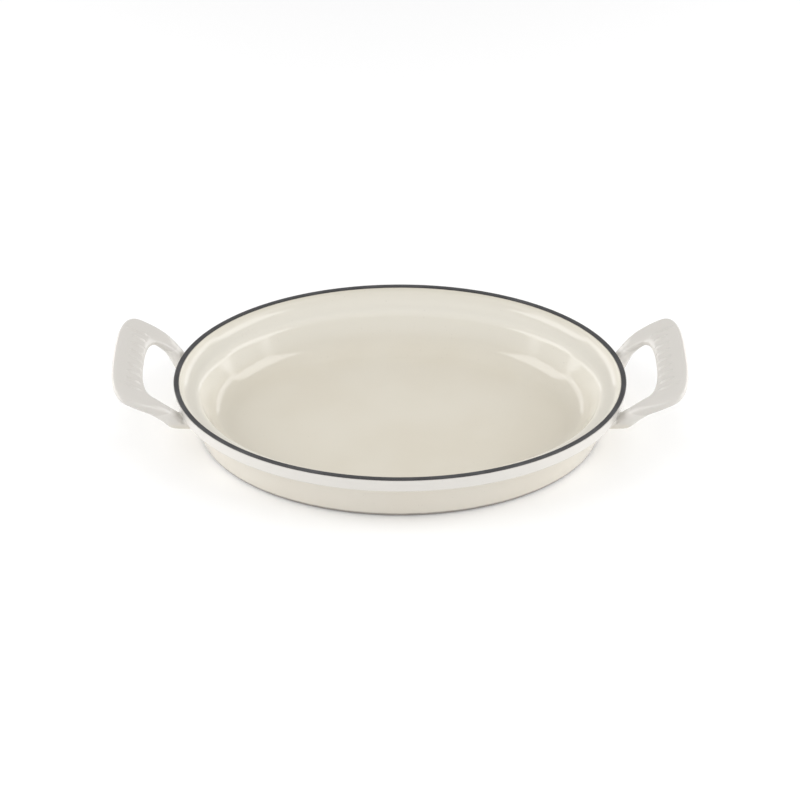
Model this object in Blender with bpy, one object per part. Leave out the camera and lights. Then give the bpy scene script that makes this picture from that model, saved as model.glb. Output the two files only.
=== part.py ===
"""Shallow oval casserole dish in enamelled cast iron, with a loop handle at each end.

Frame: metres, +Z up, origin on the table under the middle of the dish, +X along its length.
The dish is one iron casting under fired coats. The casting is modelled as the bowl and two
handles, which meet face to face at the four arm roots, and every coat is a shell of its own.
"""

from math import acos, cos, pi, radians, sin, tan

import bmesh
import bpy
from mathutils import Matrix, Vector

# Driving dimensions of the bowl, in metres. Insets count from the rim's outer edge: the first of
# a pair is at the two ends of the oval, and the second at its two long sides. Depths count down
# from the top of the rim.
RIM_LENGTH = 0.2900
RIM_WIDTH = 0.2186
RIM_HEIGHT = 0.0373
RIM_THICKNESS = 0.0036
RIM_CROWN = 0.0006            # how far the rim's flat top stands above its two shoulders
BAND_TURN_DOWN = 0.0003       # how far the dark band runs down each side below the shoulders
LIP_DEPTH_OUTSIDE = 0.0092
LIP_DEPTH_INSIDE = 0.0076
LIP_DRAFT = 0.0011            # how far each face of the lip leans in over its depth
WELL_INSET_ENDS = 0.0125      # the edge where the ledge drops into the well
WELL_INSET_SIDES = 0.0145
WELL_EDGE_DEPTH = 0.0134
WALL_THICKNESS = 0.0040       # at the edge of the well, measured level
LEDGE_THICKNESS = 0.0028      # at the same edge, measured upright
FLOOR_HEIGHT = 0.0046
FLOOR_INSET_ENDS = 0.0200     # the corner that the well's big fillet rounds
FLOOR_INSET_SIDES = 0.0166
WALL_FOOT_ENDS = 0.0037       # from the base's outer corner in to the floor's corner
WALL_FOOT_SIDES = 0.0046
FOOT_WIDTH = 0.0070           # the flat ring that the dish stands on
UNDERSIDE_RECESS = 0.0005

# Roundings of the bowl: a chamfer's width, and the radii of its fillets.
CROWN_CHAMFER = 0.0008
LIP_FILLET_INSIDE = 0.0040
LIP_FILLET_OUTSIDE = 0.0020
WELL_EDGE_RADIUS = 0.0030
WELL_FILLET_OUTSIDE = 0.0050
FLOOR_FILLET = 0.0095
BASE_RADIUS = 0.0025

# Driving dimensions of a handle. Reaches count outward from the rim's end, drops down from the top
# of the rim to the middle of the bar, and spans from side to side across the whole loop.
HANDLE_REACH = 0.0371
HANDLE_SPAN = 0.0922
HANDLE_END = 0.0123           # how far from its tip the loop's outline starts to close
HANDLE_ROOT_SPAN = 0.0720
HANDLE_SQUARENESS = 2.6       # 2 closes the outline as an ellipse, more makes it boxy
HOLE_REACH = 0.0190
HOLE_SPAN = 0.0604
HOLE_END = 0.0090
HOLE_ROOT_SPAN = 0.0510
HOLE_SQUARENESS = 2.5
HOLE_FLARE = 0.0091           # how far from the root the hole takes to reach its full span
ROOT_REACH = -0.0040          # where the level root ends and the arm starts to climb
ROOT_BURIED = 0.0250          # how much further in the level root runs before the bowl trims it
ROOT_DROP = 0.0133
ROOT_THICKNESS = 0.0108
ROOT_TAPER = 0.0300           # how far from the root the bar takes to thin
BAR_THICKNESS = 0.0056
ARM_TILT = radians(54.4)
GRIP_TILT = radians(28.2)
BEND_REACH = 0.0141           # from the rim's end to here the bar eases to the grip's tilt
BAR_SQUARENESS = 3.0

# The coats, and the clearance between every two pieces that touch.
COAT = 0.00035
GAP = 0.00030

# Facets.
OVAL_SEGMENTS = 56
SECTION_POINTS = 14
ARM_RINGS = 8
END_RINGS = 6

IRON_INSET = COAT + GAP
MERGE_DISTANCE = 0.000002

# Remove what the startup scene holds.
for leftover in list(bpy.data.objects):
    bpy.data.objects.remove(leftover, do_unlink=True)

dish = bpy.data.collections.new("oval_casserole_dish")
cutters = bpy.data.collections.new("cutters")
bpy.context.scene.collection.children.link(dish)
bpy.context.scene.collection.children.link(cutters)


def finish(name, colour, roughness, metallic=0.0):
    """A plain material with the colour, roughness and metallic value of one coat or metal."""
    material = bpy.data.materials.new(name)
    material.use_nodes = True
    shader = material.node_tree.nodes["Principled BSDF"]
    shader.inputs["Base Color"].default_value = (*colour, 1.0)
    shader.inputs["Roughness"].default_value = roughness
    shader.inputs["Metallic"].default_value = metallic
    material.diffuse_color = (*colour, 1.0)
    return material


def add_object(name, bm, collection, material=None):
    """Turns a bmesh into a smooth-shaded object whose faces point outward."""
    bmesh.ops.recalc_face_normals(bm, faces=bm.faces)
    mesh = bpy.data.meshes.new(name)
    bm.to_mesh(mesh)
    bm.free()
    mesh.shade_smooth()
    mesh.set_sharp_from_angle(angle=radians(35))
    if material:
        mesh.materials.append(material)
    piece = bpy.data.objects.new(name, mesh)
    collection.objects.link(piece)
    return piece


def add_cutter(name, bm):
    """An object that only shapes others."""
    cutter = add_object(name, bm, cutters)
    cutter.hide_render = True
    cutter.display_type = 'WIRE'
    return cutter


def cut(piece, cutter):
    """Takes the cutter's shape away from a piece."""
    boolean = piece.modifiers.new("cut by " + cutter.name, 'BOOLEAN')
    boolean.operation = 'DIFFERENCE'
    boolean.solver = 'EXACT'
    boolean.object = cutter


# The bowl's profile. A profile point is (inset at the ends, inset at the sides, height), so one
# line holds the wall's curve at the ends and at the sides of the oval, and all between.

def flat(vector):
    """A profile vector seen in a section: mean inset and height."""
    return Vector(((vector.x + vector.y) / 2, vector.z))


def rounded(before, corner, after, radius, segments):
    """The arc that rounds one corner of a profile, tangent to both of its edges."""
    to_before = (before - corner) / flat(before - corner).length
    to_after = (after - corner) / flat(after - corner).length
    opening = acos(flat(to_before).dot(flat(to_after)))
    reach = radius / tan(opening / 2)
    centre = corner + (to_before + to_after) * (radius / sin(opening))
    first = corner + to_before * reach - centre
    last = corner + to_after * reach - centre
    sweep = pi - opening
    arc = []
    for step in range(segments + 1):
        turned = sweep * step / segments
        arc.append(centre + (first * sin(sweep - turned) + last * sin(turned)) / sin(sweep))
    return arc


def moved_along(start, towards, distance):
    """The point at a distance from start on the way to another."""
    return start + (towards - start) * (distance / flat(towards - start).length)


def offset_line(points, distance):
    """A profile line moved into the metal by the same distance everywhere."""
    normals = []
    for start, end in zip(points, points[1:]):
        along = flat(end - start).normalized()
        normals.append(Vector((-along.y, along.x)))
    moved = []
    for index, point in enumerate(points):
        before = normals[max(index - 1, 0)]
        after = normals[min(index, len(normals) - 1)]
        mitre = (before + after) / (1 + before.dot(after))
        moved.append(point + Vector((mitre.x, mitre.x, mitre.y)) * distance)
    return moved


def coat_on(line):
    """The closed profile of a coat whose outer face is the given line."""
    return line + offset_line(line, COAT)[::-1]


# Corners of the skin, from the middle of the floor up the inside, over the rim and down outside.
shoulder_height = RIM_HEIGHT - RIM_CROWN
rim_inner = Vector((RIM_THICKNESS, RIM_THICKNESS, shoulder_height))
rim_outer = Vector((0.0, 0.0, shoulder_height))
crown_inner = Vector((RIM_THICKNESS - CROWN_CHAMFER, RIM_THICKNESS - CROWN_CHAMFER, RIM_HEIGHT))
crown_outer = Vector((CROWN_CHAMFER, CROWN_CHAMFER, RIM_HEIGHT))
lip_inner = Vector((RIM_THICKNESS + LIP_DRAFT, RIM_THICKNESS + LIP_DRAFT, RIM_HEIGHT - LIP_DEPTH_INSIDE))
lip_outer = Vector((LIP_DRAFT, LIP_DRAFT, RIM_HEIGHT - LIP_DEPTH_OUTSIDE))
well_edge = Vector((WELL_INSET_ENDS, WELL_INSET_SIDES, RIM_HEIGHT - WELL_EDGE_DEPTH))
well_outside = well_edge - Vector((WALL_THICKNESS, WALL_THICKNESS, LEDGE_THICKNESS))
floor_corner = Vector((FLOOR_INSET_ENDS, FLOOR_INSET_SIDES, FLOOR_HEIGHT))
floor_middle = Vector((RIM_WIDTH / 2, RIM_WIDTH / 2, FLOOR_HEIGHT))
base_corner = floor_corner - Vector((WALL_FOOT_ENDS, WALL_FOOT_SIDES, FLOOR_HEIGHT))
foot_inner = base_corner + Vector((FOOT_WIDTH, FOOT_WIDTH, 0.0))

inside = rounded(floor_middle, floor_corner, well_edge, FLOOR_FILLET, 3)
inside += rounded(floor_corner, well_edge, lip_inner, WELL_EDGE_RADIUS, 1)
inside += rounded(well_edge, lip_inner, rim_inner, LIP_FILLET_INSIDE, 2)
crown = [rim_inner, crown_inner, crown_outer, rim_outer]
outside = rounded(rim_outer, lip_outer, well_outside, LIP_FILLET_OUTSIDE, 1)
outside += rounded(lip_outer, well_outside, base_corner, WELL_FILLET_OUTSIDE, 2)
outside += rounded(well_outside, base_corner, foot_inner, BASE_RADIUS, 3)
foot_outer = outside.pop()    # the arc's last point lies on the table, where the iron shows

# Where each coat ends: the band turns down both sides of the rim, and the others stop a gap below.
band_inner = moved_along(rim_inner, lip_inner, BAND_TURN_DOWN)
band_outer = moved_along(rim_outer, lip_outer, BAND_TURN_DOWN)
interior_line = inside + [moved_along(band_inner, lip_inner, GAP)]
exterior_line = [moved_along(band_outer, lip_outer, GAP)] + outside
band_line = [band_inner] + crown + [band_outer]

# Every ring of the dish, round the bowl or round a handle's bar, is one unit ring moved by a
# matrix, so one loft makes them all: it extrudes a ring and moves the new one to its place.

def rounded_power(value, squareness):
    """Turns a circle's sine or cosine into a squarer one."""
    return abs(value) ** (2 / squareness) * (1 if value > 0 else -1)


def loft(places, points, squareness=2.0, closed=False):
    """Skins a row of ring places. An open row is capped at both ends, a closed one meets itself."""
    bm = bmesh.new()
    ring = bmesh.ops.create_circle(bm, radius=1.0, segments=points)["verts"]
    for corner in ring:
        corner.co.x = rounded_power(corner.co.x, squareness)
        corner.co.y = rounded_power(corner.co.y, squareness)
    bmesh.ops.transform(bm, matrix=places[0], verts=ring)
    first_edges = list(bm.edges)
    edges = first_edges
    following = places[1:] + places[:1] if closed else places[1:]
    for before, after in zip(places, following):
        extruded = bmesh.ops.extrude_edge_only(bm, edges=edges)["geom"]
        ring = [part for part in extruded if isinstance(part, bmesh.types.BMVert)]
        edges = [part for part in extruded if isinstance(part, bmesh.types.BMEdge)]
        bmesh.ops.transform(bm, matrix=after @ before.inverted(), verts=ring)
    if closed:
        bmesh.ops.remove_doubles(bm, verts=bm.verts, dist=MERGE_DISTANCE)
    else:
        bmesh.ops.edgeloop_fill(bm, edges=first_edges)
        bmesh.ops.edgeloop_fill(bm, edges=edges)
    return bm


def oval_body(profile, closed=False):
    """Lofts a profile round the oval."""
    places = []
    for point in profile:
        stretch = Matrix.Diagonal((RIM_LENGTH / 2 - point.x, RIM_WIDTH / 2 - point.y, 1.0, 1.0))
        places.append(Matrix.Translation((0.0, 0.0, point.z)) @ stretch)
    return loft(places, OVAL_SEGMENTS, closed=closed)


def sheet_height(reach):
    """Height of the bar's middle: it climbs steeply, bends and runs straight on to the tip."""
    climb = tan(ARM_TILT) * (reach - ROOT_REACH)
    bending = min(max(reach, 0.0), BEND_REACH)
    bent = max(reach - BEND_REACH, 0.0)
    ease = (tan(ARM_TILT) - tan(GRIP_TILT)) * (bending ** 2 / (2 * BEND_REACH) + bent)
    return RIM_HEIGHT - ROOT_DROP + climb - ease


def outline(share, turn, reach, end, span, root_span, flare, squareness):
    """A point of the hole's or the handle's outline in plan, on the arm or on the closing end."""
    closing_from = reach - end
    along_arm = (closing_from - ROOT_REACH) * share
    spread = sin(pi / 2 * min(along_arm / flare, 1.0))
    half_span = (root_span + (span - root_span) * spread) / 2
    across = half_span * cos(turn) ** (2 / squareness)
    outward = ROOT_REACH + along_arm + end * sin(turn) ** (2 / squareness)
    return Vector((RIM_LENGTH / 2 + outward, -across, sheet_height(outward)))


def half_bar():
    """Inner edge, outer edge and thickness of the bar, from its root to the grip's middle."""
    steps = [(index / (ARM_RINGS - 1), 0.0) for index in range(ARM_RINGS)]
    steps += [(1.0, pi / 2 * (index + 1) / END_RINGS) for index in range(END_RINGS)]
    handle_flare = HANDLE_REACH - HANDLE_END - ROOT_REACH
    root_end = RIM_LENGTH / 2 + ROOT_REACH
    rows = []
    for share, turn in steps:
        inner = outline(share, turn, HOLE_REACH, HOLE_END, HOLE_SPAN, HOLE_ROOT_SPAN,
                        HOLE_FLARE, HOLE_SQUARENESS)
        outer = outline(share, turn, HANDLE_REACH, HANDLE_END, HANDLE_SPAN, HANDLE_ROOT_SPAN,
                        handle_flare, HANDLE_SQUARENESS)
        from_root = (inner.x + outer.x) / 2 - root_end
        swelling = max(1.0 - from_root / ROOT_TAPER, 0.0) ** 2
        thickness = BAR_THICKNESS + (ROOT_THICKNESS - BAR_THICKNESS) * swelling
        rows.append((inner, outer, thickness))
    return rows


def bar_places(inset):
    """Where the rings of a handle's bar lie, drawn in from its surface by an inset."""
    half = half_bar()
    across_middle = Matrix.Diagonal((1.0, -1.0, 1.0))
    mirrored = [(across_middle @ inner, across_middle @ outer, size) for inner, outer, size in half[-2::-1]]
    rows = half + mirrored
    middles = [(inner + outer) / 2 for inner, outer, size in rows]
    places = []
    for index, (inner, outer, thickness) in enumerate(rows):
        along = middles[min(index + 1, len(rows) - 1)] - middles[max(index - 1, 0)]
        sideways = (outer - inner).normalized()
        upward = along.cross(sideways).normalized()
        along = sideways.cross(upward)
        across = sideways * ((outer - inner).length / 2 - inset)
        through = upward * (thickness / 2 - inset)
        frame = Matrix((across, through, along)).transposed().to_4x4()
        places.append(Matrix.Translation(middles[index]) @ frame)
    buried = Matrix.Translation((-ROOT_BURIED, 0.0, 0.0))
    return [buried @ places[0]] + places + [buried @ places[-1]]


def bar_body(inset, cavity_inset=None, turned=0.0):
    """The handle's loop, solid, or a tube where a cavity is asked for."""
    places = bar_places(inset)
    if cavity_inset is not None:
        places += bar_places(cavity_inset)[::-1]
    bm = loft(places, SECTION_POINTS, BAR_SQUARENESS, closed=cavity_inset is not None)
    bmesh.ops.triangulate(bm, faces=bm.faces, quad_method='SHORT_EDGE')
    bmesh.ops.rotate(bm, verts=bm.verts, cent=(0.0, 0.0, 0.0), matrix=Matrix.Rotation(turned, 3, 'Z'))
    return bm


iron = finish("ground_coated_iron", (0.045, 0.042, 0.044), 0.55)
cream = finish("cream_enamel", (0.68, 0.63, 0.53), 0.16)
off_white = finish("off_white_enamel", (0.68, 0.66, 0.62), 0.16)
charcoal = finish("charcoal_enamel", (0.052, 0.050, 0.053), 0.50)

# The iron bowl. Its foot ring comes down between the two outer coats to the table.
recess_edge = foot_inner + Vector((GAP, GAP, UNDERSIDE_RECESS + COAT + GAP))
iron_profile = offset_line(inside + crown + outside, IRON_INSET) + [foot_outer, foot_inner, recess_edge]
add_object("bowl_casting", oval_body(iron_profile), dish, iron)

# The fired coats of the bowl.
add_object("interior_enamel", oval_body(coat_on(interior_line)), dish, cream)
add_object("rim_band", oval_body(coat_on(band_line), closed=True), dish, charcoal)
exterior_enamel = add_object("exterior_enamel", oval_body(coat_on(exterior_line), closed=True), dish, off_white)
underside_top = recess_edge + Vector((GAP, GAP, -GAP))
underside_line = [underside_top - Vector((0.0, 0.0, COAT)), underside_top]
add_object("underside_enamel", oval_body(underside_line), dish, off_white)

# What trims the handles at the wall: their iron reaches the bowl's iron, and their coat stops at
# the bowl's coat.
outer_skin = crown + outside
iron_trim = add_cutter("iron_trim", oval_body(offset_line(outer_skin, COAT)))
coat_trim = add_cutter("coat_trim", oval_body(offset_line(outer_skin, -GAP)))

for side, turned in (("left", pi), ("right", 0.0)):
    casting = add_object(side + "_handle_casting", bar_body(IRON_INSET, turned=turned), dish, iron)
    cut(casting, iron_trim)
    coat = add_object(side + "_handle_enamel", bar_body(0.0, COAT, turned), dish, off_white)
    cut(coat, coat_trim)
    passage = add_cutter(side + "_passage", bar_body(COAT, turned=turned))
    cut(exterior_enamel, passage)
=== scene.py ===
# %% [markdown]
# Oval casserole dish in enamelled cast iron
#
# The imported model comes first. It gives the iron, the coats and their true places, and it is never
# moved. This script gives each coat a fine surface and each finish its material, and then sets the
# dish on a pale floor in soft studio light.

# %% Load the frame
from math import acos, cos, pi, radians, sin, tan

import bmesh
import bpy
from mathutils import Matrix, Vector


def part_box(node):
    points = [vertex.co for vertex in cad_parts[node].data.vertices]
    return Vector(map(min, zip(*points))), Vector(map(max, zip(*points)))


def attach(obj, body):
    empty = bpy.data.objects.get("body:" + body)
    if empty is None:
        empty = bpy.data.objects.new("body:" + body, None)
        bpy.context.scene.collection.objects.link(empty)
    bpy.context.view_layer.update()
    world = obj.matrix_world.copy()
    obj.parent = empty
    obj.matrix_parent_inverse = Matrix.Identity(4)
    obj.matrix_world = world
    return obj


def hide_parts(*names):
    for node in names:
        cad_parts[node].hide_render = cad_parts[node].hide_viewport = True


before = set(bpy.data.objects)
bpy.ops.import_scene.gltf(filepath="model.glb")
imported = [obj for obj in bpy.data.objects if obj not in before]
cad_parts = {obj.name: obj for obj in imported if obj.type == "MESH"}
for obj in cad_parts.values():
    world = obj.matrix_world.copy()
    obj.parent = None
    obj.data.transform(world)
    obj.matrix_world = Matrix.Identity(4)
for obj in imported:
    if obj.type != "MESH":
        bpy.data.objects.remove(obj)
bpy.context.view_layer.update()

print("nodes:", sorted(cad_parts))

# %% [markdown]
# Sizes
#
# The rim's length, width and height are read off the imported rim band, so the fine surfaces follow
# the model. The rest of the wall's profile is written here in metres. Each inset counts in from the
# rim's outer edge, first at the two ends of the oval and then at its long sides. Each depth counts
# down from the top of the rim.
#
# The insets, depths and fillets of the inside are fitted to the long pale streaks that the light
# leaves in it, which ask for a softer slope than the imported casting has. The outside stays nearly as
# packed. Between the two, the wall comes out 9 to 21 mm thick below the ledge, measured level. That
# is far more than the 3 to 7 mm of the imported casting, which is the one to measure from.

# %% Sizes of the bowl
band_low, band_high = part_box("rim_band")
HALF_LENGTH = band_high.x
HALF_WIDTH = band_high.y
RIM_HEIGHT = band_high.z

RIM_THICKNESS = 0.0036
RIM_CROWN = 0.0006
CROWN_CHAMFER = 0.0008
SHOULDER_RADIUS = CROWN_CHAMFER / 3
LIP_DEPTH_OUTSIDE = 0.0097
LIP_DEPTH_INSIDE = 0.0085
LIP_DRAFT = 0.0011
WELL_INSET = (0.0160, 0.0184)
WELL_EDGE_DEPTH = 0.0109
WELL_OUTSIDE_INSET = (0.0085, 0.0105)
WELL_OUTSIDE_DEPTH = 0.0162
FLOOR_HEIGHT = 0.0046
FLOOR_INSET = (0.0263, 0.0315)
BASE_INSET = (0.0163, 0.0120)
FOOT_WIDTH = 0.0070
UNDERSIDE_RECESS = 0.0005
LIP_FILLET_INSIDE = 0.0100
LIP_FILLET_OUTSIDE = 0.0020
WELL_EDGE_RADIUS = 0.0072
WELL_FILLET_OUTSIDE = 0.0050
FLOOR_FILLET = 0.0170
BASE_RADIUS = 0.0025

COAT = 0.00035
GAP = 0.00030
OVAL_POINTS = 240
print("rim", round(HALF_LENGTH * 2000, 1), "x", round(HALF_WIDTH * 2000, 1), "mm")
print("rim band:", [round(size * 1000, 1) for size in band_high - band_low], "mm")

# %% [markdown]
# The wall's profile
#
# A profile point holds three numbers: the inset at the ends, the inset at the sides and the height.
# One line of such points then describes the wall all round the oval, although the wall leans more at
# the ends than at the sides. Corners are listed once, and arcs tangent to both neighbours round them,
# because fired glaze never has a sharp edge.

# %% Profile helpers
def flat(vector):
    """A profile vector seen in a section: mean inset and height."""
    return Vector(((vector.x + vector.y) / 2, vector.z))


def rounded(before, corner, after, radius, steps):
    """The arc that rounds one corner of a profile."""
    to_before = (before - corner) / flat(before - corner).length
    to_after = (after - corner) / flat(after - corner).length
    opening = acos(flat(to_before).dot(flat(to_after)))
    reach = radius / tan(opening / 2)
    centre = corner + (to_before + to_after) * (radius / sin(opening))
    first = corner + to_before * reach - centre
    last = corner + to_after * reach - centre
    sweep = pi - opening
    arc = []
    for step in range(steps + 1):
        turned = sweep * step / steps
        arc.append(centre + (first * sin(sweep - turned) + last * sin(turned)) / sin(sweep))
    return arc


def moved_along(start, towards, distance):
    """The point at a distance from start on the way to another."""
    return start + (towards - start) * (distance / flat(towards - start).length)


def offset_line(points, distance):
    """A profile line moved into the metal by the same distance everywhere."""
    normals = []
    for start, end in zip(points, points[1:]):
        along = flat(end - start).normalized()
        normals.append(Vector((-along.y, along.x)))
    moved = []
    for index, point in enumerate(points):
        before = normals[max(index - 1, 0)]
        after = normals[min(index, len(normals) - 1)]
        mitre = (before + after) / (1 + before.dot(after))
        moved.append(point + Vector((mitre.x, mitre.x, mitre.y)) * distance)
    return moved


def coat_on(line):
    """The closed profile of a coat whose outer face is the given line."""
    return line + offset_line(line, COAT)[::-1]


# %% [markdown]
# Corners and lines of the wall
#
# The corners come first, and arcs then join them into lines: the inside from the floor up, the crown
# of the rim, and the outside down to the foot. Three coats share that surface. The two glazes stop a
# hair under the rim's shoulders and the charcoal band starts a hair above them, because coats whose
# meshes touched or crossed would flicker where they meet.

# %% Corners of the profile
shoulder = RIM_HEIGHT - RIM_CROWN
rim_inner = Vector((RIM_THICKNESS, RIM_THICKNESS, shoulder))
rim_outer = Vector((0.0, 0.0, shoulder))
crown_inner = Vector((RIM_THICKNESS - CROWN_CHAMFER, RIM_THICKNESS - CROWN_CHAMFER, RIM_HEIGHT))
crown_outer = Vector((CROWN_CHAMFER, CROWN_CHAMFER, RIM_HEIGHT))
lip_inner = rim_inner + Vector((LIP_DRAFT, LIP_DRAFT, RIM_CROWN - LIP_DEPTH_INSIDE))
lip_outer = rim_outer + Vector((LIP_DRAFT, LIP_DRAFT, RIM_CROWN - LIP_DEPTH_OUTSIDE))
well_edge = Vector((*WELL_INSET, RIM_HEIGHT - WELL_EDGE_DEPTH))
well_outside = Vector((*WELL_OUTSIDE_INSET, RIM_HEIGHT - WELL_OUTSIDE_DEPTH))
floor_corner = Vector((*FLOOR_INSET, FLOOR_HEIGHT))
floor_middle = Vector((HALF_WIDTH, HALF_WIDTH, FLOOR_HEIGHT))
base_corner = Vector((*BASE_INSET, 0.0))
foot_inner = base_corner + Vector((FOOT_WIDTH, FOOT_WIDTH, 0.0))
print("ledge edge:", round(well_edge.z * 1000, 1), "mm above the table")
print("ledge thickness:", round((well_edge.z - well_outside.z) * 1000, 1), "mm")

# %% Lines through the corners
inside = rounded(floor_middle, floor_corner, well_edge, FLOOR_FILLET, steps=16)
inside += rounded(floor_corner, well_edge, lip_inner, WELL_EDGE_RADIUS, steps=8)
inside += rounded(well_edge, lip_inner, rim_inner, LIP_FILLET_INSIDE, steps=10)
inner_shoulder = rounded(lip_inner, rim_inner, crown_inner, SHOULDER_RADIUS, steps=3)
crown = rounded(rim_inner, crown_inner, crown_outer, CROWN_CHAMFER, steps=4)
crown += rounded(crown_inner, crown_outer, rim_outer, CROWN_CHAMFER, steps=4)
outer_shoulder = rounded(crown_outer, rim_outer, lip_outer, SHOULDER_RADIUS, steps=3)
outside = rounded(rim_outer, lip_outer, well_outside, LIP_FILLET_OUTSIDE, steps=6)
outside += rounded(lip_outer, well_outside, base_corner, WELL_FILLET_OUTSIDE, steps=8)
outside += rounded(well_outside, base_corner, foot_inner, BASE_RADIUS, steps=8)
foot_outer = outside.pop()

interior_line = inside + [moved_along(rim_inner, lip_inner, GAP)]
exterior_line = [moved_along(rim_outer, lip_outer, GAP)] + outside
band_inner = moved_along(rim_inner, crown_inner, GAP)
band_outer = moved_along(rim_outer, crown_outer, GAP)
band_line = [band_inner] + crown + [band_outer]
print("profile points:", len(interior_line), len(band_line), len(exterior_line))

# %% [markdown]
# Skinning rings
#
# Every piece of the dish is a row of rings with a skin between them. The skin starts as a flat grid:
# its columns run round a ring and its rows go from one ring to the next. Each corner of the grid is
# then moved to its place, and the seam is welded. A skin whose last ring meets its first is closed by
# itself, and any other gets a cap wherever an end is still open. Blender makes neighbouring faces
# agree on a side, and the sign of the volume tells whether that side is the outer one.

# %% Loft
MERGE_DISTANCE = 0.000001


def skin(rings, closed=False):
    """Wraps a grid round a row of rings, closes its two ends and turns its faces outward."""
    if closed:
        rings = rings + rings[:1]
    columns = len(rings[0])
    bm = bmesh.new()
    bmesh.ops.create_grid(bm, x_segments=columns, y_segments=len(rings) - 1)
    for index, corner in enumerate(bm.verts):
        ring, column = divmod(index, columns + 1)
        corner.co = rings[ring][column % columns]
    bmesh.ops.remove_doubles(bm, verts=bm.verts, dist=MERGE_DISTANCE)
    open_edges = [edge for edge in bm.edges if edge.is_boundary]
    bmesh.ops.holes_fill(bm, edges=open_edges)
    bmesh.ops.recalc_face_normals(bm, faces=bm.faces)
    if bm.calc_volume(signed=True) < 0:
        bmesh.ops.reverse_faces(bm, faces=bm.faces)
    return bm


def oval_ring(point):
    """One ring of the bowl, from a profile point."""
    length = HALF_LENGTH - point.x
    width = HALF_WIDTH - point.y
    turns = [2 * pi * index / OVAL_POINTS for index in range(OVAL_POINTS)]
    return [Vector((length * cos(turn), width * sin(turn), point.z)) for turn in turns]


def oval_body(profile, closed=False):
    """Skins a profile round the oval."""
    return skin([oval_ring(point) for point in profile], closed)


# %% [markdown]
# Finished pieces
#
# A skin becomes a piece once it has a name, a finish and a place on the dish. Shading is smooth apart
# from true edges, such as the cut end of a coat, so the rings between never show as facets.

# %% Add a piece
EDGE_ANGLE = radians(50)


def add_piece(name, bm, replaced, finish):
    """Makes a finished piece from a bmesh and puts it in the node's place on the dish."""
    mesh = bpy.data.meshes.new(name)
    bm.to_mesh(mesh)
    bm.free()
    mesh.shade_smooth()
    mesh.set_sharp_from_angle(angle=EDGE_ANGLE)
    mesh.materials.append(finish)
    piece = bpy.data.objects.new(name, mesh)
    bpy.context.scene.collection.objects.link(piece)
    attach(piece, "root")
    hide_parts(replaced)
    print(name, "-", len(mesh.polygons), "faces")


# %% [markdown]
# Shader maths
#
# A finish is easier to read as a sum than as a web of nodes. This small class wraps one output socket,
# and arithmetic on it adds the Math nodes. Any other node is made by its one method, which sets the
# node's own settings first and then its inputs.

# %% A value that varies over a surface
class Value:
    """An output of a shader node, on which Python arithmetic adds Math nodes."""

    def __init__(self, tree, socket):
        self.tree = tree
        self.socket = socket

    def node(self, kind, inputs, output=0, **settings):
        """Adds a node of any type: settings first, then each input's value or link."""
        made = self.tree.nodes.new(kind)
        for name, setting in settings.items():
            setattr(made, name, setting)
        for key, value in inputs.items():
            if isinstance(value, Value):
                self.tree.links.new(value.socket, made.inputs[key])
            else:
                made.inputs[key].default_value = value
        return Value(self.tree, made.outputs[output])

    def maths(self, operation, first, second):
        """Adds one Math node."""
        return self.node("ShaderNodeMath", {0: first, 1: second}, operation=operation)

    def __add__(self, other):
        return self.maths('ADD', self, other)

    __radd__ = __add__

    def __sub__(self, other):
        return self.maths('SUBTRACT', self, other)

    def __rsub__(self, other):
        return self.maths('SUBTRACT', other, self)

    def __mul__(self, other):
        return self.maths('MULTIPLY', self, other)

    __rmul__ = __mul__

    def noise(self, size, detail=3.0, roughness=0.5):
        """Noise from 0 to 1 whose features are about the given size in metres."""
        settings = {"Vector": self, "Scale": 1.0 / size, "Detail": detail, "Roughness": roughness}
        return self.node("ShaderNodeTexNoise", settings)

    def step(self, start, end):
        """Rises smoothly from 0 at start to 1 at end."""
        ends = {"Value": self, "From Min": start, "From Max": end}
        return self.node("ShaderNodeMapRange", ends, interpolation_type='SMOOTHSTEP')

    def between(self, low, high):
        """A colour that goes from low to high as this value goes from 0 to 1."""
        ends = {0: self, 6: low, 7: high}
        return self.node("ShaderNodeMix", ends, output=2, data_type='RGBA')

    def height(self):
        """The third coordinate of a place."""
        return self.node("ShaderNodeSeparateXYZ", {0: self}, output=2)


# %% [markdown]
# From a value to a material
#
# Each finish starts from Blender's main shader. What is the same all over is set on it as a plain
# number, and only what varies is linked. Places are read in object coordinates, which are metres on
# the dish, so a speck or a ripple has its real size wherever it lies.

# %% Finish helpers
def colour(red, green, blue):
    """A colour for a shader's socket, which also wants an alpha."""
    return (red, green, blue, 1.0)


def new_finish(name, shader_values):
    """A material, the place on its surface in object coordinates, and its main shader."""
    material = bpy.data.materials.new(name)
    material.use_nodes = True
    tree = material.node_tree
    shader = tree.nodes["Principled BSDF"]
    for key, value in shader_values.items():
        shader.inputs[key].default_value = value
    coordinates = tree.nodes.new("ShaderNodeTexCoord")
    return material, Value(tree, coordinates.outputs["Object"]), shader


def drive(shader, key, value):
    """Links a varying value to one input of the main shader."""
    value.tree.links.new(value.socket, shader.inputs[key])


def relief(shader, heights, distance):
    """Turns a varying value into a fine bump of the given depth in metres."""
    bump = heights.node("ShaderNodeBump", {"Height": heights, "Distance": distance, "Strength": 1.0})
    drive(shader, "Normal", bump)
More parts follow.
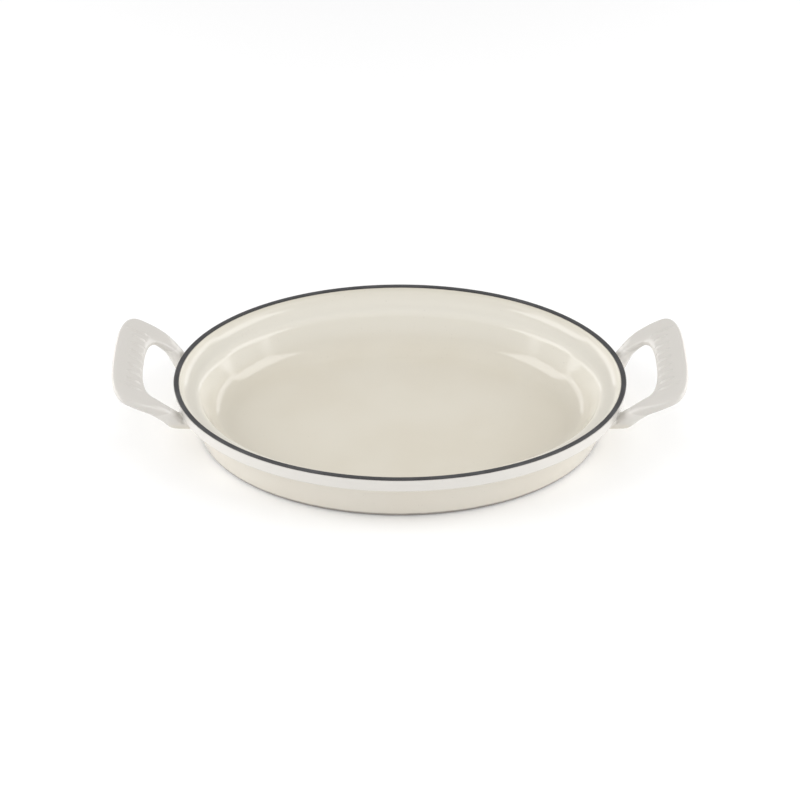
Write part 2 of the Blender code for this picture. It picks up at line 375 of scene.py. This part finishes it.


# %% [markdown]
# Enamel
#
# Fired enamel is glass on iron. It is glossy, and it is never quite even: the colour drifts a little
# over a hand's breadth, the gloss drifts too, and the surface has a faint ripple like orange peel.
# The colour is also paler high on the dish and darker and creamier low down: painted light on the
# upper wall, lip and loops, and painted shade on the floor and the lower wall. Where the glaze stops
# at the rim it is thinner and lets some of the dark ground coat through. Just above the foot it ends
# in a thin dark line that wanders a little, partly the ground coat and partly painted shade of the
# crease under the foot. A few pinpoint specks of ground coat show anywhere.

# %% Glaze
DRIFT_SIZE = 0.060
SPECK_SIZE = 0.0011
SPECK_PATCH_SIZE = 0.014
SPECK_COLOUR = colour(0.30, 0.27, 0.22)
WANDER_SIZE = 0.005
WANDER = 0.0004
THIN_FROM = RIM_HEIGHT - 0.0014
FOOT_LINE_HEIGHT = 0.0030
FOOT_LINE_FADE = 0.0014
# Colour of the dark line at the foot: partly the ground coat, partly painted shade of the crease under
# the foot.
GROUND_COAT_AND_SHADE_COLOUR = colour(0.20, 0.18, 0.165)
GLOSS_DRIFT_SIZE = 0.025
RIPPLE_SIZE = 0.0065
FINE_RIPPLE_SIZE = 0.0016
RIPPLE_DEPTH = 0.00003


def glaze(name, tint, deep_tint, painted_light_tint, painted_light_from, painted_light_to, thin_tint):
    """Glossy enamel: its colour, its deeper drift, its colour high up and where it thins."""
    material, place, shader = new_finish(name, {"IOR": 1.52, "Specular IOR Level": 0.5})
    drift = place.noise(DRIFT_SIZE, detail=2.0).step(0.35, 0.70)
    low_body = drift.between(colour(*tint), colour(*deep_tint))
    # Painted light and shade: the colour turns from the darker, creamier tint low on the dish to the
    # paler tint high up, for how the lamps fall.
    body = place.height().step(painted_light_from, painted_light_to).between(low_body, colour(*painted_light_tint))

    dots = place.noise(SPECK_SIZE, detail=0.0).step(0.79, 0.83)
    speck = dots * place.noise(SPECK_PATCH_SIZE).step(0.50, 0.62)
    specked = (speck * 0.30).between(body, SPECK_COLOUR)

    wander = (place.noise(WANDER_SIZE, detail=2.0) - 0.5) * WANDER
    edge = (place.height() + wander).step(THIN_FROM, RIM_HEIGHT - RIM_CROWN)
    thinned = (edge * 0.55).between(specked, colour(*thin_tint))
    # Painted shade: a thin dark line just above the foot, partly the ground coat and partly the shade
    # of the crease under the foot.
    foot = (FOOT_LINE_HEIGHT - (place.height() + wander * 1.5)).step(0.0, FOOT_LINE_FADE)
    drive(shader, "Base Color", (foot * 0.85).between(thinned, GROUND_COAT_AND_SHADE_COLOUR))

    drive(shader, "Roughness", 0.09 + place.noise(GLOSS_DRIFT_SIZE) * 0.05 + speck * 0.2)
    fine_ripple = place.noise(FINE_RIPPLE_SIZE, detail=1.0) * 0.25
    relief(shader, place.noise(RIPPLE_SIZE, detail=2.0) + fine_ripple, RIPPLE_DEPTH)
    return material


# %% The two glazes of the dish
# The tints low down are painted shade on the floor and the lower wall, and the paler high tints are
# painted light.
cream = glaze("cream_glaze", tint=(0.690, 0.650, 0.560), deep_tint=(0.672, 0.627, 0.532),
              painted_light_tint=(0.718, 0.688, 0.613), painted_light_from=0.004, painted_light_to=0.020,
              thin_tint=(0.53, 0.50, 0.43))
off_white = glaze("off_white_glaze", tint=(0.690, 0.653, 0.580), deep_tint=(0.683, 0.641, 0.563),
                  painted_light_tint=(0.700, 0.678, 0.640), painted_light_from=0.021, painted_light_to=0.029,
                  thin_tint=(0.56, 0.535, 0.50))
print("glazes:", cream.name, off_white.name)

# %% [markdown]
# Rim band and foot
#
# The rim carries a charcoal coat with hardly any gloss, slightly grainy and a little paler where hands
# and lids have rubbed it. The foot ring is ground flat after firing and left bare, so it shows dark
# iron with fine grinding marks and a trace of rust brown.

# %% Charcoal and iron
RUBBED_PATCH_SIZE = 0.018
CHARCOAL_GRAIN_SIZE = 0.0007
CHARCOAL_GRAIN_COLOUR = colour(0.17, 0.17, 0.175)
CHARCOAL_GRAIN_DEPTH = 0.00005
IRON_GRAIN_SIZE = 0.0008
IRON_GRAIN_DEPTH = 0.00012
RUST_PATCH_SIZE = 0.012
RUST_COLOUR = colour(0.115, 0.062, 0.038)


def charcoal_coat():
    """The matt coat of the rim: body, paler rubbed patches and a fine grain."""
    material, place, shader = new_finish("charcoal_coat", {"IOR": 1.48})
    rubbed = place.noise(RUBBED_PATCH_SIZE).step(0.40, 0.75)
    grain = place.noise(CHARCOAL_GRAIN_SIZE, detail=2.0)
    body = rubbed.between(colour(0.045, 0.044, 0.046), colour(0.072, 0.071, 0.074))
    pale_grain = grain.step(0.62, 0.72) * 0.35
    drive(shader, "Base Color", pale_grain.between(body, CHARCOAL_GRAIN_COLOUR))
    drive(shader, "Roughness", 0.42 + grain * 0.20 - rubbed * 0.06)
    relief(shader, grain, CHARCOAL_GRAIN_DEPTH)
    return material


def ground_iron():
    """Bare ground cast iron: grey grain and a trace of rust, which is less metallic."""
    material, place, shader = new_finish("ground_iron", {"IOR": 1.6})
    grain = place.noise(IRON_GRAIN_SIZE, detail=4.0)
    rust = place.noise(RUST_PATCH_SIZE, detail=4.0, roughness=0.65).step(0.56, 0.70)
    body = grain.between(colour(0.030, 0.029, 0.030), colour(0.075, 0.071, 0.069))
    drive(shader, "Base Color", (rust * 0.45).between(body, RUST_COLOUR))
    drive(shader, "Metallic", 0.35 - rust * 0.3)
    drive(shader, "Roughness", 0.50 + grain * 0.2 + rust * 0.15)
    relief(shader, grain, IRON_GRAIN_DEPTH)
    return material


charcoal = charcoal_coat()
iron = ground_iron()
print("rim and foot:", charcoal.name, iron.name)

# %% [markdown]
# The bowl's pieces
#
# Each coat is a closed shell of real thickness over the casting. The casting itself is skinned finely
# too, because its foot ring carries the dish and is the one place where bare iron shows. Its surface
# lies one coat and one gap under the glaze all over, and comes out to the full size only at the foot.

# %% Skin the bowl
IRON_INSET = COAT + GAP
recess_edge = foot_inner + Vector((GAP, GAP, UNDERSIDE_RECESS + IRON_INSET))
surface_line = inside + inner_shoulder + crown + outer_shoulder + outside
iron_line = offset_line(surface_line, IRON_INSET) + [foot_outer, foot_inner, recess_edge]
underside_top = recess_edge + Vector((GAP, GAP, -GAP))
underside_line = [underside_top - Vector((0.0, 0.0, COAT)), underside_top]

add_piece("iron_bowl", oval_body(iron_line), "bowl_casting", iron)
add_piece("inside_glaze", oval_body(coat_on(interior_line)),
          "interior_enamel", cream)
add_piece("rim_line", oval_body(coat_on(band_line), closed=True),
          "rim_band", charcoal)
add_piece("base_glaze", oval_body(underside_line),
          "underside_enamel", off_white)
add_piece("outer_glaze", oval_body(coat_on(exterior_line), closed=True),
          "exterior_enamel", off_white)

# %% [markdown]
# The loop handles
#
# A loop lies on a curved sheet that climbs away from the rim and eases over towards the grip. Its
# hole and its outer edge are two outlines on that sheet, so each ring of the bar is drawn between a
# point of one and its partner on the other. That way rings never cross at the tight inner corners, as
# they would if one section were swept along a path. A reach counts outward from the rim's end, and a
# span runs across the handle.

# %% Sizes of a handle
HANDLE_REACH = 0.0371
HANDLE_SPAN = 0.0922
HANDLE_END = 0.0123
HANDLE_ROOT_SPAN = 0.0720
HANDLE_SQUARENESS = 2.6
HOLE_REACH = 0.0190
HOLE_SPAN = 0.0604
HOLE_END = 0.0090
HOLE_ROOT_SPAN = 0.0510
HOLE_SQUARENESS = 2.5
HOLE_FLARE = 0.0091
ROOT_REACH = -0.0040
ROOT_BURIED = 0.0250
ROOT_DROP = 0.0133
ROOT_THICKNESS = 0.0108
ROOT_TAPER = 0.0300
BAR_THICKNESS = 0.0056
ARM_TILT = radians(54.4)
GRIP_TILT = radians(28.2)
BEND_REACH = 0.0141
HANDLE_FLARE = HANDLE_REACH - HANDLE_END - ROOT_REACH
print("grip", round((HANDLE_REACH - HOLE_REACH) * 1000, 1), "mm broad")


# %% Outlines of the hole and the handle
def sheet_height(reach):
    """Height of the bar's middle at a distance out from the rim's end."""
    climb = tan(ARM_TILT) * (reach - ROOT_REACH)
    bending = min(max(reach, 0.0), BEND_REACH)
    bent = max(reach - BEND_REACH, 0.0)
    ease = (tan(ARM_TILT) - tan(GRIP_TILT)) * (bending ** 2 / (2 * BEND_REACH) + bent)
    return RIM_HEIGHT - ROOT_DROP + climb - ease


def outline(share, turn, reach, end, span, root_span, flare, squareness):
    """A point of an outline: share runs along the arm, and then turn runs round the closing end."""
    along_arm = (reach - end - ROOT_REACH) * share
    spread = sin(pi / 2 * min(along_arm / flare, 1.0))
    half_span = (root_span + (span - root_span) * spread) / 2
    across = half_span * max(cos(turn), 0.0) ** (2 / squareness)
    outward = ROOT_REACH + along_arm + end * sin(turn) ** (2 / squareness)
    return Vector((HALF_LENGTH + outward, -across, sheet_height(outward)))


print("handle tip", round(sheet_height(HANDLE_REACH) * 1000, 1), "mm above the table at its middle")

# %% [markdown]
# From root to grip
#
# Half a loop is drawn and mirrored. Its steps run along the arm, round the corner, and then evenly
# across the grip, close enough together there to carry the ribs. The bar is thick where it leaves the
# wall and thins towards the grip, as a casting does where it bears the load.

# %% Half a loop
ARM_STEPS = 22
CORNER_STEPS = 34
GRIP_STEPS = 90
CORNER_TURN = radians(44)


def half_loop():
    """Inner point, outer point and thickness of the bar, from its root to the grip's middle."""
    steps = [(index / ARM_STEPS, 0.0) for index in range(ARM_STEPS)]
    steps += [(1.0, CORNER_TURN * index / CORNER_STEPS) for index in range(CORNER_STEPS)]
    widest = cos(CORNER_TURN) ** (2 / HANDLE_SQUARENESS)
    for index in range(GRIP_STEPS + 1):
        share_across = widest * (1 - index / GRIP_STEPS)
        steps.append((1.0, acos(share_across ** (HANDLE_SQUARENESS / 2))))
    rows = []
    for share, turn in steps:
        inner = outline(share, turn, HOLE_REACH, HOLE_END, HOLE_SPAN, HOLE_ROOT_SPAN,
                        HOLE_FLARE, HOLE_SQUARENESS)
        outer = outline(share, turn, HANDLE_REACH, HANDLE_END, HANDLE_SPAN, HANDLE_ROOT_SPAN,
                        HANDLE_FLARE, HANDLE_SQUARENESS)
        from_root = (inner.x + outer.x) / 2 - HALF_LENGTH - ROOT_REACH
        swelling = max(1.0 - from_root / ROOT_TAPER, 0.0) ** 2
        rows.append((inner, outer, BAR_THICKNESS + (ROOT_THICKNESS - BAR_THICKNESS) * swelling))
    return rows


print("rings in half a loop:", len(half_loop()))

# %% [markdown]
# The bar's section
#
# The section is a rounded box. Its corners sit evenly spaced along its edge, so that its flat top has
# enough of them to carry the ribs. They are found by walking round a much finer outline, drawn as
# wide as the bar really is, and stopping at equal distances.

# %% Section of the bar
SECTION_POINTS = 80
BAR_SQUARENESS = 3.0
FINE_POINTS = 1440
WIDTH_TO_THICKNESS = 2.4


def bar_section():
    """Evenly spaced points round a rounded box that reaches from -1 to 1 both ways."""
    fine = []
    for index in range(FINE_POINTS):
        turn = 2 * pi * index / FINE_POINTS
        across = abs(cos(turn)) ** (2 / BAR_SQUARENESS) * (1 if cos(turn) > 0 else -1)
        through = abs(sin(turn)) ** (2 / BAR_SQUARENESS) * (1 if sin(turn) > 0 else -1)
        fine.append(Vector((across * WIDTH_TO_THICKNESS, through)))
    travelled = [0.0]
    for start, end in zip(fine, fine[1:] + fine[:1]):
        travelled.append(travelled[-1] + (end - start).length)
    section = []
    place = 0
    for index in range(SECTION_POINTS):
        wanted = travelled[-1] * index / SECTION_POINTS
        while travelled[place + 1] < wanted:
            place += 1
        section.append(Vector((fine[place].x / WIDTH_TO_THICKNESS, fine[place].y)))
    return section


SECTION = bar_section()
print("section points:", len(SECTION))

# %% [markdown]
# Plain ribs on the grip
#
# Seven short raised ribs cross the inner half of each grip, and a low ridge marks each end of it. They
# are cast under the glaze, so they are modelled as a soft swelling of the bar's top face.

# %% Ribs
RIB_COUNT = 7
RIB_PITCH = 0.0078
RIB_HALF_WIDTH = 0.0014
RIB_RISE = 0.00100
RIB_START = 0.0195
RIB_END = 0.0272
RIB_FADE = 0.001
RIDGE_ACROSS = 0.0305
RIDGE_START = 0.0165
RIDGE_END = 0.0330
RIDGE_FADE = 0.004


def smooth_step(low, high, value):
    """Rises smoothly from 0 at low to 1 at high."""
    share = min(max((value - low) / (high - low), 0.0), 1.0)
    return share * share * (3 - 2 * share)


def rib_height(point):
    """How far the top face swells at a place on the right-hand handle."""
    reach = point.x - HALF_LENGTH
    nearest = min(max(round(point.y / RIB_PITCH), -(RIB_COUNT // 2)), RIB_COUNT // 2)
    beside = abs(point.y - nearest * RIB_PITCH)
    within = smooth_step(RIB_START - RIB_FADE, RIB_START + RIB_FADE, reach)
    within *= 1 - smooth_step(RIB_END - RIB_FADE, RIB_END + RIB_FADE, reach)
    rib = within * (1 - smooth_step(0.0, RIB_HALF_WIDTH, beside))
    beside_ridge = abs(abs(point.y) - RIDGE_ACROSS)
    along_ridge = smooth_step(RIDGE_START, RIDGE_START + RIDGE_FADE, reach)
    along_ridge *= 1 - smooth_step(RIDGE_END - RIDGE_FADE, RIDGE_END, reach)
    ridge = along_ridge * (1 - smooth_step(0.0, RIB_HALF_WIDTH, beside_ridge))
    return RIB_RISE * max(rib, ridge)


print("ribs:", RIB_COUNT, "on each grip,", round(RIB_RISE * 1000, 1), "mm high")

# %% [markdown]
# Where an arm meets the wall
#
# The arm comes down steeply, turns level at its root and grows into the wall under the lip. Each
# lengthwise line of the bar is followed to the place where it meets the wall. Its corner is eased,
# and a short curve then leads from a point just before that place to a point beyond it on the wall,
# tangent at both ends. That is how a casting's root looks: no edge, only hollows.

# %% The wall as a surface
WALL_PROBE = 0.0001
WALL_PASSES = 6
wall_line = sorted(exterior_line + [rim_outer, crown_outer], key=lambda point: point.z)


def wall_size(height):
    """Half length and half width of the outer wall at a height."""
    height = min(max(height, wall_line[0].z), wall_line[-1].z)
    for low, high in zip(wall_line, wall_line[1:]):
        if height <= high.z:
            share = (height - low.z) / max(high.z - low.z, MERGE_DISTANCE)
            break
    inset = low.lerp(high, share)
    return HALF_LENGTH - inset.x, HALF_WIDTH - inset.y


def off_wall(point, depth):
    """Distance of a point from the wall's surface, or from one that lies deeper by depth."""
    length, width = wall_size(point.z)
    length -= depth
    width -= depth
    ratio = ((point.x / length) ** 2 + (point.y / width) ** 2) ** 0.5
    slope = Vector((point.x / length ** 2, point.y / width ** 2)).length / ratio
    return (ratio - 1) / slope


def wall_normal(point, depth):
    """The outward direction of the wall near a point."""
    here = off_wall(point, depth)
    steps = (Vector((WALL_PROBE, 0, 0)), Vector((0, WALL_PROBE, 0)), Vector((0, 0, WALL_PROBE)))
    return Vector([off_wall(point + step, depth) - here for step in steps]).normalized()


def onto_wall(point, depth):
    """The point moved straight to the wall's surface."""
    for repeat in range(WALL_PASSES):
        point = point - wall_normal(point, depth) * off_wall(point, depth)
    return point


foot_size = [round(half_size * 2000, 1) for half_size in wall_size(0.0)]
print("wall at its foot:", foot_size, "mm")

# %% [markdown]
# Rings of a loop
#
# Each ring sets the section on the bar: sideways between the hole and the outer edge, and upward
# across the bar. An inset draws the whole ring in, which gives the glaze its inner face and the iron
# its skin. The ribs rise only from the top, and fade out before the rounded sides.

# %% Rings from the grip down to a root
TOP_FACE_FROM = 0.3
TOP_FACE_FULL = 0.9


def loop_rings(inset):
    """Rings of the bar drawn in by an inset, from the middle of the grip down to one buried root."""
    rows = half_loop()
    middles = [(inner + outer) / 2 for inner, outer, thickness in rows]
    middles.append(middles[-1] + Vector((0.0, (middles[-1] - middles[-2]).length, 0.0)))
    rings = []
    for index, (inner, outer, thickness) in enumerate(rows):
        along = middles[index + 1] - middles[max(index - 1, 0)]
        sideways = (outer - inner).normalized()
        upward = sideways.cross(along).normalized()
        across = sideways * ((outer - inner).length / 2 - inset)
        through = upward * (thickness / 2 - inset)
        ring = []
        for corner in SECTION:
            point = middles[index] + across * corner.x + through * corner.y
            if corner.y > 0:
                top_share = smooth_step(TOP_FACE_FROM, TOP_FACE_FULL, corner.y)
                point += upward * rib_height(point) * top_share
            ring.append(point)
        rings.append(ring)
    buried = [point - Vector((ROOT_BURIED, 0.0, 0.0)) for point in rings[0]]
    return rings[::-1] + [buried]


# %% [markdown]
# Following a line to the wall
#
# These helpers work on one lengthwise line of the bar at a time. The first rounds the line's corners,
# the second spaces its points evenly again, and the third cuts it where it enters the wall. Halving
# the stretch between a point outside and a point inside finds that place as closely as one likes.

# %% Line helpers
EASING_PASSES = 16
HALVINGS = 24


def eased(line):
    """A line whose corners are rounded, while its two ends stay."""
    for repeat in range(EASING_PASSES):
        triples = zip(line, line[1:], line[2:])
        inner_points = [(before + here * 2 + after) / 4 for before, here, after in triples]
        line = [line[0]] + inner_points + [line[-1]]
    return line


def resampled(line, length, steps):
    """Evenly spaced points on the first stretch of a line, after its start."""
    points = []
    travelled = 0.0
    place = 0
    for step in range(1, steps + 1):
        wanted = length * step / steps
        while travelled + (line[place + 1] - line[place]).length < wanted and place < len(line) - 2:
            travelled += (line[place + 1] - line[place]).length
            place += 1
        share = (wanted - travelled) / (line[place + 1] - line[place]).length
        points.append(line[place].lerp(line[place + 1], min(share, 1.0)))
    return points


def line_to_wall(column, depth):
    """The part of a lengthwise line that is outside the wall, ending on the wall."""
    crossing = next(index for index, point in enumerate(column) if off_wall(point, depth) < 0)
    outside_point = column[crossing - 1]
    inside_point = column[crossing]
    for halving in range(HALVINGS):
        middle = (outside_point + inside_point) / 2
        if off_wall(middle, depth) < 0:
            inside_point = middle
        else:
            outside_point = middle
    return list(column[:crossing]) + [outside_point]


# %% [markdown]
# Roots
#
# The last rings before the wall are replaced by a lead: the eased end of each line, and then a curve
# onto the wall. The lead spreads outward all round, but near the top it has to stay under the rim's
# shoulder, so its reach is cut short there.

# %% Roots of a loop, with a fillet at each end
ROOT_FILLET = 0.0030
FILLET_STEPS = 8
LEAD_STEPS = 30
RINGS_REPLACED = 8
ROOT_CEILING = RIM_HEIGHT - RIM_CROWN - GAP
LEAST_REACH = 0.0002
LEAST_RISE = 0.05


def fillet_reach(end, outward, fillet):
    """How far a fillet may spread on the wall before it would pass the rim's shoulder."""
    if outward.z <= 0:
        return fillet
    return min(fillet, max(ROOT_CEILING - end.z, LEAST_REACH) / max(outward.z, LEAST_RISE))


def root_rings(rings, depth, fillet):
    """Cuts the rings off at the wall and leads each of their lines onto it."""
    lines = [line_to_wall(column, depth) for column in zip(*rings)]
    kept = min(len(line) for line in lines) - RINGS_REPLACED
    centre = sum((line[-1] for line in lines), Vector()) / len(lines)
    leads = []
    for line in lines:
        rest = line[kept - 1:]
        length = sum((end - start).length for start, end in zip(rest, rest[1:]))
        lead = eased([rest[0]] + resampled(rest, length - fillet, LEAD_STEPS))
        end = onto_wall(line[-1], depth)
        outward = end - centre
        normal = wall_normal(end, depth)
        outward = (outward - normal * outward.dot(normal)).normalized()
        landing = onto_wall(end + outward * fillet_reach(end, outward, fillet), depth)
        start = lead[-1]
        for step in range(1, FILLET_STEPS + 1):
            share = step / FILLET_STEPS
            lead.append(start * (1 - share) ** 2 + end * 2 * share * (1 - share) + landing * share ** 2)
        leads.append(lead[1:])
    return rings[:kept] + [list(ring) for ring in zip(*leads)]


def full_loop(inset, depth, fillet=ROOT_FILLET):
    """Rings of a whole loop, from one root to the other."""
    half = root_rings(loop_rings(inset), depth, fillet)
    mirrored = [[Vector((point.x, -point.y, point.z)) for point in ring] for ring in half]
    return mirrored[::-1] + half[1:]


# %% [markdown]
# Iron and glaze of the loops
#
# The glaze is a tube with an outer and an inner face, which end on the wall's glaze and just under
# it. The iron is a plain bar inside that tube. It ends a little before the wall, where the glaze's
# fillet starts to spread, so that it can't come through the fillet's hollow. One handle is drawn, and
# the other is the same turned half round.

# %% Skin the loops
glaze_rings = full_loop(0.0, 0.0) + full_loop(COAT, COAT)[::-1]
iron_rings = full_loop(IRON_INSET + GAP, -ROOT_FILLET / 2, fillet=GAP)


def loop_body(rings, turned, closed=False):
    """One loop of the right-hand handle, turned to its own end of the dish."""
    bm = skin(rings, closed)
    turn = Matrix.Rotation(turned, 3, 'Z')
    bmesh.ops.rotate(bm, verts=bm.verts, cent=(0.0, 0.0, 0.0), matrix=turn)
    return bm


for side, turned in (("right", 0.0), ("left", pi)):
    add_piece(side + "_loop_iron", loop_body(iron_rings, turned),
              side + "_handle_casting", iron)
    add_piece(side + "_loop_glaze", loop_body(glaze_rings, turned, closed=True),
              side + "_handle_enamel", off_white)

# %% [markdown]
# Studio floor
#
# The dish stands on a plain pale sweep with no horizon in sight. One large flat sheet does the same
# from this angle. It has hardly any gloss, and its tone drifts so little that it reads as white while
# it still takes the soft shadow round the foot.

# %% Floor
FLOOR_REACH = 6.0
FLOOR_DRIFT_SIZE = 0.8


def floor_finish():
    """Matt pale paper with a drift that is barely there."""
    material, place, shader = new_finish("pale_sweep", {"Roughness": 0.9, "Specular IOR Level": 0.1})
    drift = place.noise(FLOOR_DRIFT_SIZE, detail=2.0)
    drive(shader, "Base Color", drift.between(colour(0.95, 0.95, 0.95), colour(0.97, 0.97, 0.97)))
    return material


floor_mesh = bpy.data.meshes.new("floor")
floor_bm = bmesh.new()
bmesh.ops.create_grid(floor_bm, x_segments=1, y_segments=1, size=FLOOR_REACH)
floor_bm.to_mesh(floor_mesh)
floor_bm.free()
floor_mesh.materials.append(floor_finish())
floor = bpy.data.objects.new("floor", floor_mesh)
bpy.context.scene.collection.objects.link(floor)
print("floor:", floor.name)

# %% [markdown]
# Studio light
#
# Gloss shows its surroundings, so the lights are placed for what they draw in the glaze. A soft box
# high on each side draws the pale streaks along the inside of the wall. Wide low panels at the sides,
# the front corners, the back corners and the front light the outer wall and the loops from all round,
# and are weak enough to draw no streaks of their own. The world adds an even fill.

# %% Light
FILL_STRENGTH = 0.55
WHITE = (1.0, 1.0, 1.0, 1.0)

world = bpy.data.worlds.new("studio")
world.use_nodes = True
world.node_tree.nodes["Background"].inputs["Color"].default_value = WHITE
world.node_tree.nodes["Background"].inputs["Strength"].default_value = FILL_STRENGTH
bpy.context.scene.world = world


def soft_box(name, azimuth, elevation, distance, width, height, radiance):
    """A large light that faces the dish; its azimuth counts from the front to the right."""
    light = bpy.data.lights.new(name, 'AREA')
    light.shape = 'RECTANGLE'
    light.size = width
    light.size_y = height
    light.energy = radiance * pi * width * height
    lamp = bpy.data.objects.new(name, light)
    level = distance * cos(radians(elevation))
    lift = distance * sin(radians(elevation))
    lamp.location = (level * sin(radians(azimuth)), -level * cos(radians(azimuth)), lift)
    lamp.rotation_euler = Vector(lamp.location).to_track_quat('Z', 'Y').to_euler()
    bpy.context.scene.collection.objects.link(lamp)
    print(name, "-", round(light.energy, 2), "W")


for hand, mirror in (("right", 1), ("left", -1)):
    soft_box(hand + "_soft_box", azimuth=79 * mirror, elevation=38.4, distance=1.2,
             width=0.79, height=0.69, radiance=3.10)
    soft_box(hand + "_low_light", azimuth=88 * mirror, elevation=10, distance=1.5,
             width=1.80, height=0.45, radiance=0.60)
    soft_box(hand + "_front_light", azimuth=45 * mirror, elevation=12, distance=1.5,
             width=1.10, height=0.50, radiance=1.05)
    soft_box(hand + "_back_light", azimuth=120 * mirror, elevation=14, distance=1.6,
             width=1.70, height=0.70, radiance=2.10)
soft_box("front_light", azimuth=0, elevation=20, distance=1.5,
         width=1.20, height=0.60, radiance=0.45)

# %% [markdown]
# Camera
#
# The viewing angle and the long lens come from ellipses fitted to the rim and the foot in the
# photograph: 35.5 degrees above level, 1.68 m away. The lens follows from its focal length counted in
# the picture's pixels.

# %% Camera
CAMERA_ELEVATION = radians(35.5)
CAMERA_DISTANCE = 1.680
CAMERA_FOCAL_PIXELS = 2606.6
FRAME_PIXELS = 800
SENSOR_WIDTH = 36.0
AIM_HEIGHT = 0.01895

camera_data = bpy.data.cameras.new("camera")
camera_data.sensor_width = SENSOR_WIDTH
camera_data.lens = CAMERA_FOCAL_PIXELS * SENSOR_WIDTH / FRAME_PIXELS
camera = bpy.data.objects.new("camera", camera_data)
away = Vector((0.0, -cos(CAMERA_ELEVATION), sin(CAMERA_ELEVATION)))
camera.location = Vector((0.0, 0.0, AIM_HEIGHT)) + away * CAMERA_DISTANCE
camera.rotation_euler = away.to_track_quat('Z', 'Y').to_euler()
bpy.context.scene.collection.objects.link(camera)
bpy.context.scene.camera = camera
print("camera:", round(camera_data.lens, 1), "mm lens")

# %% [markdown]
# Plain colours
#
# The standard view shows the materials' colours as they are, without the contrast that a film look
# would add to a nearly white scene.

# %% View
scene = bpy.context.scene
scene.view_settings.view_transform = 'Standard'
scene.view_settings.look = 'None'
print("view:", scene.view_settings.view_transform)
